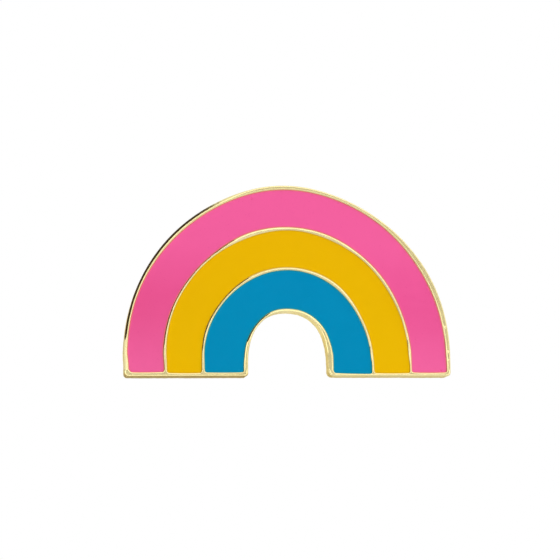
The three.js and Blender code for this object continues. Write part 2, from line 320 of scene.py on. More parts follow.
def at_opening(q):
    return np.hypot(q[:, 0], q[:, 1]) < 6.2


def outer_shoulder(d, q):
    return np.where(at_opening(q) & (q[:, 1] > -1.62), varied(d, SHOULDER_H, q), varied(d, SHOULDER_O, q))


def rim_shoulder(d, q):
    return np.where(at_opening(q), varied(d, SHOULDER_I, q, 156), varied(d, SHOULDER_R, q))


def line_shoulder(d, q):
    return varied(d, SHOULDER_P, q, 172, (np.hypot(q[:, 0], q[:, 1]) - 10.5) * 3)


DROP_O = outer_shoulder(np.zeros(len(out_loop)), out_loop)


def pocket_distance(q):
    """Distance to the nearest pocket edge: above 0 on the metal, below 0 in a pocket."""
    d = np.full(len(q), 1e9)
    for f in pocket_fields.values():
        d = np.minimum(d, -f(q))
    return d


def crest_noise(x, z):
    return 0.007 * lattice_noise(x * 1.1 + 40, z * 1.1 + 40, 3) + 0.003 * lattice_noise(x * 3.7 + 90, z * 3.7 + 90, 4)


def build_body():
    pts = [out_loop]
    levels = [0.020, 0.045, 0.075, 0.105, 0.135, 0.165, 0.20, 0.24, 0.30]
    n_out = loop_normals(out_loop)
    for lv in levels:
        q = out_loop - n_out * lv
        ok = (pocket_distance(q) > lv * 0.98) & (np.abs(out_field(q) - lv) < 0.3 * DS * 0.3 + 0.004)
        pts.append(q[ok])
    for loop in pockets.values():
        n = loop_normals(loop)
        for lv in [0.0] + levels[:-1]:
            q = loop + n * lv
            dp = pocket_distance(q)
            ok = (out_field(q) > lv * 1.02 + 0.004) & (np.abs(dp - lv) < 0.006)
            pts.append(q[ok])
        for lv in (0.02, 0.04, 0.055):
            q = loop - n * lv
            ok = np.abs(pocket_distance(q) + lv) < 0.006
            pts.append(q[ok])
    allp = np.vstack(pts)
    # points of the pocket walls need a little grid in the floors, so that no sliver spans one
    gx, gz = np.meshgrid(np.arange(-16.5, 16.6, 0.9), np.arange(-2, 17, 0.9))
    g = np.c_[gx.ravel(), gz.ravel()]
    g = g[pocket_distance(g) < -0.35]
    allp = np.vstack([allp, g])
    v, tris, first = cdt_inside(allp, len(out_loop))
    dp, do = pocket_distance(v), np.maximum(0, out_field(v))
    on_edge = np.zeros(len(v), bool)
    on_edge[first[: len(out_loop)]] = True
    do[on_edge] = 0
    rim = np.clip((0.54 - do) / 0.06, 0, 1)
    depth = (rim * rim_shoulder(np.maximum(dp, 0), v) + (1 - rim) * line_shoulder(np.maximum(dp, 0), v)
             + STEEP_H * np.clip(1 - dp / STEEP_W, 0, 1) + outer_shoulder(do, v))
    foot = (rim * rim_shoulder(np.zeros(len(v)), v) + (1 - rim) * line_shoulder(np.zeros(len(v)), v)) + STEEP_H
    depth = np.where(dp < 0, foot + (POCKET_DEPTH - foot) * np.clip(-dp / 0.05, 0, 1) ** 0.9, depth)
    depth = depth + np.where(dp >= 0, crest_noise(v[:, 0], v[:, 1]), 0)
    for nx, nz, nr, nd in NICKS:
        depth = depth + np.where(dp > 0.02, nd * np.exp(-(((v[:, 0] - nx) / nr) ** 2 + ((v[:, 1] - nz) / nr) ** 2)), 0)
    depth[on_edge] = DROP_O
    verts = [to_row(v[:, 0], v[:, 1], depth)]
    faces = [tris]
    base = len(v)
    # painted shade: the edge under the left leg takes the same dark tone as the wall below it
    wall_tag = [np.clip(1.3 - do / 0.09, 0, 1) * (v[:, 1] < -1.5) * np.clip((2 - v[:, 0]) / 4, 0, 1)]
    # side wall, from the rim's edge to the back
    n = len(out_loop)
    s = np.arange(n) * DS
    right_inner = np.clip(out_loop[:, 0] / 3.2, 0, 1) * (np.hypot(*out_loop.T) < 4.9) * (out_loop[:, 1] < 4.0)
    right_inner = np.convolve(np.r_[right_inner[-8:], right_inner, right_inner[:8]], np.ones(17) / 17, "valid")
    # painted light: the wall is paler over the right shoulder of the opening
    b = bearing(out_loop)
    painted_pale_light = at_opening(out_loop) * smooth((b - 22) / 20) * smooth((112 - b) / 20)
    rows = [DROP_O + 0.05, np.maximum(0.35, DROP_O + 0.08), 0.42, 0.54, 0.66, 0.78, 0.90, 1.02, 1.14, 1.26, 1.38, 1.50, 1.62, BODY_T - 0.075, BODY_T - 0.022, BODY_T]
    insets = [0.0] * 13 + [0.006, 0.032, 0.085]
    prev = first[:n]
    for k, (dep, ins) in enumerate(zip(rows, insets)):
        t = (dep - DROP_O) / (BODY_T - DROP_O)
        dep = np.full(n, 1.0) * dep
        rough = (0.011 * lattice_noise(s * 2.2, dep * 0.9, 11)
                 + 0.010 * lattice_noise(s * 6.0, dep * 3.0 + 7, 12)
                 + 0.006 * rng.uniform(-1, 1, n)) * np.clip(t * 5, 0, 1) * (1 if k < 14 else 0.4)
        grow = rough - 0.02 * np.clip(t * 5, 0, 1) - 0.03 * right_inner * t - ins
        q = out_loop + n_out * grow[:, None]
        verts.append(to_row(q[:, 0], q[:, 1], dep))
        # the wall tone, lessened where the light is painted over the opening's right shoulder
        wall_tag.append(np.minimum(1, t * 6) * (1 - 0.8 * painted_pale_light) if k < 14 else np.full(n, 0.3))
        cur = base + np.arange(n)
        nxt = np.roll(np.arange(n), -1)
        faces.append(np.c_[prev, cur, cur[nxt], prev[nxt]])
        prev, base = cur, base + n
    # back face: a plain border round a shallow stippled field
    gx, gz = np.meshgrid(np.arange(-16.5, 16.6, 0.45), np.arange(-2, 17, 0.45))
    g = np.c_[gx.ravel(), gz.ravel()]
    g = g[out_field(g) > 1.05]
    back_pts = [g]
    for lv in (0.18, 0.45, 0.66, 0.70, 0.75, 0.80, 0.90):
        q = out_loop - n_out * lv
        back_pts.append(q[np.abs(out_field(q) - lv) < 0.02])
    last_xz = np.c_[verts[-1][:, 0], verts[-1][:, 2] + CM * MM] / MM
    bv, bt, bfirst = cdt_inside(np.vstack([last_xz] + back_pts), n)
    remap = np.full(len(bv), -1)
    for i in range(n):
        remap[bfirst[i]] = prev[i]
    extra = np.where(remap < 0)[0]
    remap[extra] = base + np.arange(len(extra))
    field_in = smooth((out_field(bv[extra]) - 0.66) / 0.13)
    stipple = 0.010 * lattice_noise(bv[extra, 0] * 1.9 + 50, bv[extra, 1] * 1.9 + 50, 61)
    verts.append(to_row(bv[extra, 0], bv[extra, 1], BODY_T - field_in * (BACK_RECESS + stipple)))
    wall_tag.append(0.12 + 0.88 * field_in)
    faces.append(remap[bt][:, ::-1])
    V = np.vstack(verts)
    F = [tuple(f) for block in faces for f in block]
    ob = make_mesh("pin_body", V, F)
    return ob, V, np.concatenate(wall_tag)


def add_tag(ob, name, points, values):
    """Gives each vertex the value of the point it was made from, as a point attribute."""
    t = kdtree.KDTree(len(points))
    for i, q in enumerate(points):
        t.insert(q, i)
    t.balance()
    attribute = ob.data.attributes.new(name, "FLOAT", "POINT")
    attribute.data.foreach_set("value", np.array([values[t.find(v.co)[1]] for v in ob.data.vertices], np.float32))


body, body_V, body_tag = build_body()
add_tag(body, "wall", body_V, body_tag)  # how much of a side wall each point is, with painted shade on the edge under the left leg and painted light over the opening's right shoulder
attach(body, "pin")
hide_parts("struck_body")

# --------------------------------------------------------------- enamel fills
ENAMEL_DEPTH, MENISCUS, MENISCUS_L = 0.150, 0.034, 0.12


def build_enamel(colour, outer, inner, feet, pits=(), dent=0.0):
    grow = 0.016
    feet = (tuple(h - grow for h in feet[0]), feet[1], feet[2])
    o, i = list(outer), list(inner)
    o[0] += grow
    i[0] -= grow
    loop = band_loop(o, i, feet, 0.08, dent=dent)
    field = Field(loop)
    nrm = loop_normals(loop)
    pts = [loop]
    for lv in (0.016, 0.035, 0.06, 0.09, 0.13, 0.18, 0.24, 0.32, 0.42, 0.55):
        q = loop - nrm * lv
        ok = np.abs(field(q) - lv) < 0.006
        pts.append(q[ok][:: (1 if lv < 0.2 else 2)])
    gx, gz = np.meshgrid(np.arange(-16.5, 16.6, 0.36), np.arange(-2, 17, 0.36))
    gx = gx + 0.18 * (np.arange(gx.shape[0]) % 2)[:, None]
    g = np.c_[gx.ravel(), gz.ravel()]
    g = g[field(g) > 0.66]
    w = np.arange(14) * 2 * math.pi / 14
    for px, pz, pd in pits:
        g = g[np.hypot(g[:, 0] - px, g[:, 1] - pz) > 0.2]
        ring = np.c_[np.cos(w), np.sin(w)]
        pts.append(np.vstack([[(px, pz)]] + [ring * r + (px, pz) for r in (0.03, 0.06, 0.10)]))
    v, tris, first = cdt_inside(np.vstack(pts + [g]), len(loop))
    d = np.maximum(0, field(v))
    d[first[: len(loop)]] = 0
    wave = 0.007 * lattice_noise(v[:, 0] * 0.8 + 60, v[:, 1] * 0.8 + 60, 21) + 0.0025 * lattice_noise(v[:, 0] * 2.3 + 60, v[:, 1] * 2.3 + 60, 22)
    depth = ENAMEL_DEPTH - MENISCUS * np.exp(-d / MENISCUS_L) + wave * np.clip(d / 0.4, 0, 1)
    for px, pz, pd in pits:
        depth += pd * np.exp(-(((v[:, 0] - px) ** 2 + (v[:, 1] - pz) ** 2) / 0.045 ** 2))
    verts = [to_row(v[:, 0], v[:, 1], depth)]
    edge = [np.exp(-((d / 0.085) ** 2))]
    faces = [tuple(t) for t in tris]
    n = len(loop)
    prev, base = first[:n], len(v)
    nxt = np.roll(np.arange(n), -1)
    for dep, ins in ((0.19, 0.030), (POCKET_DEPTH - 0.02, 0.045)):
        q = loop - nrm * ins
        verts.append(to_row(q[:, 0], q[:, 1], np.full(n, dep)))
        edge.append(np.ones(n))
        cur = base + np.arange(n)
        faces += [tuple(f) for f in np.c_[prev, cur, cur[nxt], prev[nxt]]]
        prev, base = cur, base + n
    bv, bt, bfirst = cdt_inside(q, n)
    remap = np.full(len(bv), -1)
    for k in range(n):
        remap[bfirst[k]] = prev[k]
    faces += [tuple(f) for f in remap[bt][:, ::-1]]
    ob = make_mesh("enamel_fill_" + colour, np.vstack(verts), faces)
    # how near each point is to the metal, where the fill is thin and the gold warms it
    add_tag(ob, "edge", np.vstack(verts), np.concatenate(edge))
    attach(ob, "pin")
    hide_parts("enamel_" + colour)
    return ob


fills = {
    "pink": build_enamel("pink", PINK_OUT, PINK_IN, PINK_FOOT, ((-3.38, 15.36, 0.10), (14.86, -1.28, 0.14), (-7.16, 13.28, -0.030), (12.47, 1.79, -0.030)), 0.034),
    "yellow": build_enamel("yellow", YELLOW_OUT, YELLOW_IN, YELLOW_FOOT, dent=0.020),
    "blue": build_enamel("blue", BLUE_OUT, BLUE_IN, BLUE_FOOT, ((3.20, 7.33, 0.05),)),
}

# ----------------------------------------------- posts, solder and clutches
def smooth_path(pts, radius, n=7):
    """An open path of straight pieces with its corners rounded: radius is one number or one per point."""
    p = np.asarray(pts, float)
    r = [radius] * len(p) if np.isscalar(radius) else radius
    out = [p[0]]
    for i in range(1, len(p) - 1):
        a, b = p[i - 1] - p[i], p[i + 1] - p[i]
        la, lb = np.linalg.norm(a), np.linalg.norm(b)
        a, b = a / la, b / lb
        half = math.acos(max(-1, min(1, float(a @ b)))) / 2
        if r[i] <= 0 or abs(math.pi / 2 - half) < 0.02:
            out.append(p[i])
            continue
        t = min(r[i] / math.tan(half), 0.48 * la, 0.48 * lb)
        rad = t * math.tan(half)
        c = p[i] + (a + b) / np.linalg.norm(a + b) * (rad / math.sin(half))
        s, e = p[i] + a * t, p[i] + b * t
        a0, a1 = math.atan2(*(s - c)[::-1]), math.atan2(*(e - c)[::-1])
        da = (a1 - a0 + math.pi) % (2 * math.pi) - math.pi
        for k in range(n + 1):
            w = a0 + da * k / n
            out.append(c + rad * np.array([math.cos(w), math.sin(w)]))
    out.append(p[-1])
    return np.array(out)


def lathe(profile, segments, wobble=None):
    """A closed profile of (radius, height) turned about the height axis. wobble(angle, radius, height) shifts the radius and height."""
    prof = np.asarray(profile, float)
    n = len(prof)
    ring = np.arange(segments) * 2 * math.pi / segments
    R, A = np.meshgrid(prof[:, 0], ring)
    H = np.tile(prof[:, 1], (segments, 1))
    if wobble is not None:
        dr, dh = wobble(A, R, H)
        R, H = np.maximum(R + dr, 0), H + dh
    verts = np.stack([R * np.cos(A), H, R * np.sin(A)], -1).reshape(-1, 3)
    faces = []
    for s in range(segments):
        t = (s + 1) % segments
        for i in range(n):
            j = (i + 1) % n
            q = [s * n + i, s * n + j, t * n + j, t * n + i]
            if prof[i, 0] < 1e-9 and prof[j, 0] < 1e-9:
                continue
            faces.append(tuple(q))
    return verts, faces


class Path:
    """A path of (u, h) points, walked by length, with its normal on the left."""

    def __init__(self, pts):
        self.p = np.asarray(pts, float)
        self.s = np.r_[0, np.cumsum(np.hypot(*np.diff(self.p, axis=0).T))]
        self.len = self.s[-1]

    def at(self, s):
        return np.c_[np.interp(s, self.s, self.p[:, 0]), np.interp(s, self.s, self.p[:, 1])]

    def normal(self, s):
        e = 0.03
        d = self.at(np.minimum(s + e, self.len)) - self.at(np.maximum(s - e, 0))
        d /= np.hypot(*d.T)[:, None]
        return np.c_[-d[:, 1], d[:, 0]]


def sheet(outline, path, thick, edge=0.08, grid=0.16, hole=None, emboss=None, ds=0.07):
    """A bent sheet: outline is a loop of (s along the path, v across it), the sheet is thick all through with rounded edges.
    hole is (s, v, radius) of a round hole, emboss(s, v) lifts the sheet along its normal. Returns points as (u, h, v)."""
    loop = resample(np.asarray(outline, float), ds)
    area = 0.5 * np.sum(loop[:, 0] * np.roll(loop[:, 1], -1) - loop[:, 1] * np.roll(loop[:, 0], -1))
    if area < 0:
        loop = loop[::-1].copy()
    field = Field(loop)
    nrm = loop_normals(loop)
    inside = lambda q: field(q)
    loops = [(loop, nrm)]
    hfield = None
    if hole:
        hs, hv, hr = hole
        w = np.arange(int(2 * math.pi * hr / ds)) * 2 * math.pi / int(2 * math.pi * hr / ds)
        ring = np.c_[hs + hr * np.cos(w), hv + hr * np.sin(w)]
        rn = -np.c_[np.cos(w), np.sin(w)]
        loops.append((ring, rn))
        inside = lambda q: np.minimum(field(q), np.hypot(q[:, 0] - hs, q[:, 1] - hv) - hr)
    pts = [l for l, _ in loops]
    for lv in (0.12 * edge, 0.38 * edge, 0.7 * edge, 1.1 * edge):
        for l, nn in loops:
            q = l - nn * lv
            pts.append(q[np.abs(inside(q) - lv) < 0.25 * edge])
    lo, hi = loop.min(0), loop.max(0)
    gx, gy = np.meshgrid(np.arange(lo[0], hi[0], grid), np.arange(lo[1], hi[1], grid))
    g = np.c_[gx.ravel(), gy.ravel()]
    pts.append(g[inside(g) > 1.1 * edge + 0.5 * grid])
    edges, k = [], 0
    for l, _ in loops:
        edges += [(k + i, k + (i + 1) % len(l)) for i in range(len(l))]
        k += len(l)
    allp = np.vstack(pts)
    res = delaunay_2d_cdt([Vector((float(x), float(y))) for x, y in allp], edges, [], 0 if hole else 1, 1e-7)
    v2 = np.array([(q.x, q.y) for q in res[0]])
    tris = np.array([list(f) for f in res[2]])
    first = np.full(len(allp), -1)
    for new, olds in enumerate(res[3]):
        for o in olds:
            first[o] = new
    if hole:
        tris = tris[inside(v2[tris].mean(1)) > 0]
    d = np.maximum(0, inside(v2))
    d[first[:k]] = 0
    t = thick / 2 - edge + np.sqrt(np.maximum(0, edge ** 2 - (edge - np.minimum(d, edge)) ** 2))
    c, nv = path.at(v2[:, 0]), path.normal(v2[:, 0])
    lift = emboss(v2[:, 0], v2[:, 1]) if emboss else 0
    top = c + nv * (t + lift)[:, None] if emboss else c + nv * t[:, None]
    low = c - nv * (t - lift)[:, None] if emboss else c - nv * t[:, None]
    verts = np.vstack([np.c_[top, v2[:, 1]], np.c_[low, v2[:, 1]]])
    m = len(v2)
    faces = [tuple(f) for f in tris] + [tuple(f + m) for f in tris[:, ::-1]]
    start = 0
    for l, _ in loops:
        idx = first[start:start + len(l)]
        for i in range(len(l)):
            a, b = idx[i], idx[(i + 1) % len(l)]
            faces.append((a, b, b + m, a + m))
        start += len(l)
    return verts, faces


class Station:
    def __init__(self, side):
        self.side = side
        s = 1 if side == "right" else -1
        a = POST_ANGLE
        self.at = np.array([s * POST_RING * math.cos(a), 0.0, POST_RING * math.sin(a) - CM])
        th = math.pi / 2 - a if s > 0 else math.pi / 2 + a
        self.u = np.array([math.cos(th), 0, -math.sin(th)])
        self.v = np.array([math.sin(th), 0, math.cos(th)])

    def place(self, uhv, lift=0.0, flip=False):
        q = np.asarray(uhv, float)
        s = -1 if flip else 1
        return (self.at + s * q[:, :1] * self.u + (q[:, 1:2] + lift) * np.array([0, 1, 0]) + s * q[:, 2:3] * self.v) * MM


def joined(*meshes):
    V, F, k = [], [], 0
    for v, f in meshes:
        V.append(np.asarray(v))
        F += [tuple(i + k for i in face) for face in f]
        k += len(v)
    return np.vstack(V), F


def post_mesh():
    L, R, N = POST_LEN, POST_R, POST_NECK_R
    prof = smooth_path([
        (0, -0.05), (POST_FLANGE_R, -0.05), (POST_FLANGE_R, POST_FLANGE_T), (R + 0.10, POST_FLANGE_T), (R, POST_FLANGE_T + 0.20),
        (R, L - 2.45), (N, L - 2.28), (N, L - 1.87), (R, L - 1.70), (R, L - 1.25), (R * 0.70, L - 0.66),
        (0.13, L - 0.10), (0, L)],
        [0, 0.09, 0.09, 0.14, 0.5, 0.06, 0.10, 0.10, 0.06, 0.5, 0.8, 0.1, 0], 6)
    # extra rings along the shank, for the slight unevenness of drawn wire
    out = []
    for a, b in zip(prof[:-1], prof[1:]):
        k = max(1, int(abs(b[1] - a[1]) / 0.22))
        for i in range(k):
            out.append(a + (b - a) * i / k)
    out.append(prof[-1])
    prof = np.array(out)

    def wobble(A, Rr, H):
        w = 0.006 * lattice_noise(A * 5 / (2 * math.pi) * 1.0 + 3, H * 1.3 + 9, 31, wrap=5)
        return np.where(Rr > 0.05, w * 0.5, 0), np.zeros_like(H)
    return lathe(prof, 44, wobble)


def solder_mesh(seed):
    a, b = POST_FLANGE_R + 0.02, SOLDER_R
    prof = smooth_path([(a, -0.05), (b + 0.02, -0.05), (b - 0.06, 0.01), (b - 0.24, 0.10), (a + 0.05, 0.26), (a, 0.25), (a, -0.05)],
                       [0, 0.01, 0.25, 0.25, 0.03, 0.02, 0], 5)[:-1]

    def wobble(A, R, H):
        t = (R - a) / (b - a)
        ring = A * 9 / (2 * math.pi)
        edge = 0.085 * lattice_noise(ring, 0 * ring + seed, 40, wrap=9) + 0.03 * lattice_noise(ring * 3, 0 * ring + seed + 5, 41, wrap=27)
        lump = 0.045 * lattice_noise(ring * 2, t * 2 + seed, 42, wrap=18)
        return np.clip(t, 0, 1) * edge, np.where(H > -0.02, lump * np.clip(1 - abs(2 * t - 0.8), 0, 1), 0)
    return lathe(prof, 110, wobble)


def cup_mesh():
    r, s, e = CUP_R, CUP_SHEET, CUP_RIM_H
    prof = smooth_path([
        (CUP_HOLE_R, 0.06), (CUP_HOLE_R + 0.02, 0.0), (1.42, 0.0), (1.50, 0.05), (1.72, 0.05), (1.80, 0.0),
        (3.55, 0.0), (3.66, 0.07), (3.92, 0.07), (4.03, 0.0),
        (r - 0.45, 0.0), (r, 0.24), (r, e), (r - 0.44, e), (r - 0.44, 0.62), (r - 0.40, 0.52), (r - 0.72, s),
        (4.05, s), (3.95, s + 0.05), (3.63, s + 0.05), (3.53, s), (CUP_HOLE_R, s), (CUP_HOLE_R, 0.06)],
        [0, 0.03, 0.05, 0.05, 0.05, 0.05, 0.08, 0.08, 0.08, 0.08, 0.5, 0.34, 0.19, 0.19, 0.1, 0.08, 0.2,
         0.08, 0.08, 0.08, 0.08, 0.07, 0], 6)[:-1]

    def wobble(A, R, H):
        w = 0.012 * lattice_noise(A * 8 / (2 * math.pi), H * 2 + 5, 51, wrap=8) * np.clip((R - 4.2) / 0.8, 0, 1)
        f = 0.010 * lattice_noise(A * 10 / (2 * math.pi), R * 0.9, 52, wrap=10) * np.clip((R - 1.2) / 1.5, 0, 1) * np.clip((4.9 - R) / 0.8, 0, 1)
        return w, f
    disc = lathe(prof, 150, wobble)
    # crimp tabs: up through the floor and over the strip's edge
    y0 = STRIP_W / 2 + 0.06 + TAB_T / 2
    top = s + STRIP_T + 0.10 + TAB_T / 2
    tabs = []
    for side in (1, -1):
        path = Path(smooth_path([(side * y0, 0.16), (side * y0, top), (side * (y0 - 0.95 + 0.0), top)], 0.20, 8))
        w, L = TAB_W / 2, path.len
        out = smooth_path([(0, -w), (L - 0.02, -w), (L - 0.02, w), (0, w)], [0, 0.38, 0.38, 0], 7)
        v, f = sheet(out, path, TAB_T * 0.94, 0.09, 0.2)
        # the path runs across the strip, so its two in-plane directions change places
        tabs.append((np.c_[v[:, 2], v[:, 1], v[:, 0]], f))
    return joined(disc, *tabs)


def strip_mesh():
    h, w = CUP_SHEET + 0.04 + STRIP_T / 2, STRIP_HALF
    line = smooth_path([(-w + 0.05, STRIP_RISE), (-w, 1.25), (-w, h), (w, h), (w, 1.25), (w - 0.05, STRIP_RISE)],
                       [0, 1.2, 0.30, 0.30, 1.2, 0], 9)
    path = Path(line)
    L, half = path.len, STRIP_W / 2
    mid = L / 2
    up = (L - (2 * w - 0.4)) / 2
    # a shallow waist on each upturned end
    out = [(0.0, -half + 0.10), (up * 0.55, -half + 0.16), (up * 0.95, -half), (L - up * 0.95, -half), (L - up * 0.55, -half + 0.16), (L, -half + 0.10),
           (L, half - 0.10), (L - up * 0.55, half - 0.16), (L - up * 0.95, half), (up * 0.95, half), (up * 0.55, half - 0.16), (0.0, half - 0.10)]
    loop = smooth_path(out + [out[0]], [0, 0.5, 0.5, 0.5, 0.5, 0.22, 0.22, 0.5, 0.5, 0.5, 0.5, 0.22, 0], 5)[:-1]

    def emboss(s, v):
        return 0.05 * np.exp(-(((np.abs(s - mid) - 1.62) / 0.16) ** 2)) * np.clip((1.5 - np.abs(v)) / 0.3, 0, 1)
    return sheet(loop, path, STRIP_T, 0.075, 0.17, hole=(mid, 0.0, STRIP_HOLE_R), emboss=emboss)


def wing_mesh():
    t = STRIP_T
    line = smooth_path([
        (JAW_U + t / 2, JAW_H), (JAW_U + 0.22, 1.45), (1.10, 1.90), (1.62, 2.22), (PIVOT_U, PIVOT_H),
        (2.78, 2.44), (3.26, 2.82), (3.62, 3.42), (3.96, 4.20), (4.32, 4.92), (EAR_U, EAR_TOP)], 1.6, 6)
    path = Path(line)
    hs = path.p[:, 1]
    s_of = lambda h: float(np.interp(h, hs, path.s))
    half = [(0.80, JAW_H), (0.80, 1.55), (1.35, 1.90), (WING_W / 2, 2.05), (WING_W / 2, 2.60), (EAR_W / 2 - 0.25, 3.10),
            (EAR_W / 2, 3.70), (EAR_W / 2, 4.35), (EAR_W / 2 - 0.28, 4.95), (EAR_W / 2 - 0.95, 5.38), (0.90, 5.53)]
    right_side = [(s_of(h), v) for v, h in half]
    top = path.len
    notch = [(0.0, -0.34), (0.24, -0.20), (0.28, 0.0), (0.24, 0.20), (0.0, 0.34)]
    pts = [(s, -v) for s, v in right_side[::-1]] + notch + right_side + [(top, 0.45), (top, -0.45)]
    rad = [0.6] * 11 + [0.08, 0.2, 0.2, 0.2, 0.08] + [0.6] * 11 + [0.5, 0.5]
    rad[10] = 0.18
    rad[16] = 0.18
    loop = smooth_path([pts[-1]] + pts + [pts[0]], [0] + rad + [0], 6)[1:-1]

    def emboss(s, v):
        x = (s - s_of(4.15)) / (s_of(5.3) - s_of(4.15))
        pad = np.clip((1 - np.sqrt((x / 1.0) ** 2 + (v / 2.15) ** 2)) / 0.16, 0, 1)
        ribs = np.clip(np.cos((s - s_of(4.15)) * 2 * math.pi / 0.52) * 1.6 - 0.4, 0, 1)
        return -0.075 * pad + 0.075 * pad * ribs * np.clip((1.55 - np.abs(v)) / 0.3, 0, 1)
    return sheet(loop, path, t, 0.08, 0.11, emboss=emboss)


def add_piece(name, mesh, station, lift, body_name, node, flip=False):
    v, f = mesh
    ob = make_mesh(name, station.place(v, lift, flip), f)
    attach(ob, body_name)
    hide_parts(node)
    return ob


POST, CUP, STRIP, WING = post_mesh(), cup_mesh(), strip_mesh(), wing_mesh()
posts, solders, cups, strips, wings = [], [], [], [], []
for k, side in enumerate(("left", "right")):
    st = Station(side)
    posts.append(add_piece("nail_post_" + side, POST, st, 0, "pin", "post_" + side))
    solders.append(add_piece("solder_ring_" + side, solder_mesh(11 + 7 * k), st, 0, "pin", "solder_" + side))
    cl = "clutch_" + side
    cups.append(add_piece("cup_" + side, CUP, st, CLOTH_GAP, cl, "clutch_cup_" + side))
    strips.append(add_piece("strip_" + side, STRIP, st, CLOTH_GAP, cl, "clutch_strip_" + side))
    wings.append(add_piece("wing_a_sheet_" + side, WING, st, CLOTH_GAP, "wing_a_" + side, "clutch_wing_a_" + side))
    wings.append(add_piece("wing_b_sheet_" + side, WING, st, CLOTH_GAP, "wing_b_" + side, "clutch_wing_b_" + side, flip=True))

# ------------------------------------------------------------------ materials


def srgb(r, g, b):
    f = lambda c: c / 12.92 if c <= 0.04045 else ((c + 0.055) / 1.055) ** 2.4
    return (f(r / 255), f(g / 255), f(b / 255), 1.0)


class Nodes:
    def __init__(self, name):
        self.mat = bpy.data.materials.new(name)
        self.mat.use_nodes = True
        self.t = self.mat.node_tree
        self.t.nodes.clear()
        self.out = self.t.nodes.new("ShaderNodeOutputMaterial")
        self.bsdf = self.t.nodes.new("ShaderNodeBsdfPrincipled")
        self.link(self.bsdf.outputs[0], self.out.inputs[0])
        self.co = self.t.nodes.new("ShaderNodeTexCoord").outputs["Object"]

    def link(self, a, b):
        self.t.links.new(a, b)

    def node(self, kind, **inputs):
        n = self.t.nodes.new(kind)
        for k, v in inputs.items():
            if k.startswith("_"):
                setattr(n, k[1:], v)
            else:
                s = n.inputs[k.replace("__", " ")]
                if isinstance(v, bpy.types.NodeSocket):
                    self.link(v, s)
                else:
                    s.default_value = v
        return n

    def noise(self, scale, detail=3.0, rough=0.5, co=None, distortion=0.0):
        n = self.node("ShaderNodeTexNoise", Scale=scale, Detail=detail, Roughness=rough, Distortion=distortion)
        self.link(co or self.co, n.inputs["Vector"])
        return n.outputs["Fac"]

    def ramp(self, fac, stops):
        n = self.t.nodes.new("ShaderNodeValToRGB")
        self.link(fac, n.inputs[0])
        els = n.color_ramp.elements
        while len(els) < len(stops):
            els.new(0.5)
        for e, (p, c) in zip(els, stops):
            e.position = p
            e.color = c if len(c) == 4 else (*c, 1)
        return n.outputs[0]

    def map(self, v, a0, a1, b0, b1):
        n = self.t.nodes.new("ShaderNodeMapRange")
        n.inputs[1].default_value, n.inputs[2].default_value = a0, a1
        n.inputs[3].default_value, n.inputs[4].default_value = b0, b1
        self.link(v, n.inputs[0])
        return n.outputs[0]

    def mix(self, fac, a, b, mode="MIX"):
        n = self.t.nodes.new("ShaderNodeMix")
        n.data_type = "RGBA"
        n.blend_type = mode
        for s, v in ((n.inputs[0], fac), (n.inputs[6], a), (n.inputs[7], b)):
            if isinstance(v, bpy.types.NodeSocket):
                self.link(v, s)
            else:
                s.default_value = v
        return n.outputs[2]

    def math(self, op, a, b=0.0):
        n = self.t.nodes.new("ShaderNodeMath")
        n.operation = op
        for s, v in ((n.inputs[0], a), (n.inputs[1], b)):
            if isinstance(v, bpy.types.NodeSocket):
                self.link(v, s)
            else:
                s.default_value = v
        return n.outputs[0]

    def scaled(self, sx, sy, sz):
        n = self.t.nodes.new("ShaderNodeMapping")
        n.inputs["Scale"].default_value = (sx, sy, sz)
        self.link(self.co, n.inputs["Vector"])
        return n.outputs[0]

    def bump(self, height, distance, strength=1.0, normal=None):
        n = self.t.nodes.new("ShaderNodeBump")
        n.inputs["Distance"].default_value = distance
        n.inputs["Strength"].default_value = strength
        self.link(height, n.inputs["Height"])
        if normal is not None:
            self.link(normal, n.inputs["Normal"])
        return n.outputs[0]


def enamel_material(name, base, light, dark, speck, left, lit_crown, low, thin):
    m = Nodes(name)
    place = m.node("ShaderNodeSeparateXYZ")
    m.link(m.co, place.inputs[0])
    cloud = m.noise(160.0, 3.0, 0.55)
    # painted reflection: soft streaks that lighten the tone
    reflection_streak = m.noise(1.0, 3.0, 0.6, co=m.scaled(260.0, 60.0, 900.0))
    tone = m.mix(m.map(cloud, 0.35, 0.65, 0.0, 1.0), dark, light)
    tone = m.mix(0.5, tone, base)
    tone = m.mix(m.map(reflection_streak, 0.35, 0.7, 0.0, 0.35), tone, light)
    # painted shade: a little deeper on the left flank of the arch
    side = m.map(m.math("ADD", place.outputs["X"], m.math("MULTIPLY", place.outputs["Z"], 0.35)), -0.0160, -0.0035, 1.0, 0.0)
    tone = m.mix(m.math("MULTIPLY", side, 0.75), tone, left)
    # painted light: lighter towards the crown of the arch and down the legs
    tone = m.mix(m.map(place.outputs["Z"], -0.0065, 0.0005, 0.0, 0.85), tone, lit_crown)
    tone = m.mix(m.map(place.outputs["Z"], -0.0045, -0.0115, 0.0, 0.85), tone, low)
    dots = m.noise(5200.0, 2.0, 0.6)
    tone = m.mix(m.map(dots, 0.66, 0.74, 0.0, 0.35), tone, speck)
    edge = m.node("ShaderNodeAttribute", _attribute_name="edge").outputs["Fac"]
    tone = m.mix(m.math("MULTIPLY", edge, 0.85), tone, thin)
    m.link(tone, m.bsdf.inputs["Base Color"])
    m.bsdf.inputs["IOR"].default_value = 1.5
    m.bsdf.inputs["Specular IOR Level"].default_value = 0.035
    m.link(m.map(m.noise(900.0, 2.0), 0.3, 0.7, 0.16, 0.24), m.bsdf.inputs["Roughness"])
    peel = m.noise(700.0, 2.0, 0.5)
    m.link(m.bump(peel, 0.000004, 0.6), m.bsdf.inputs["Normal"])
    return m.mat


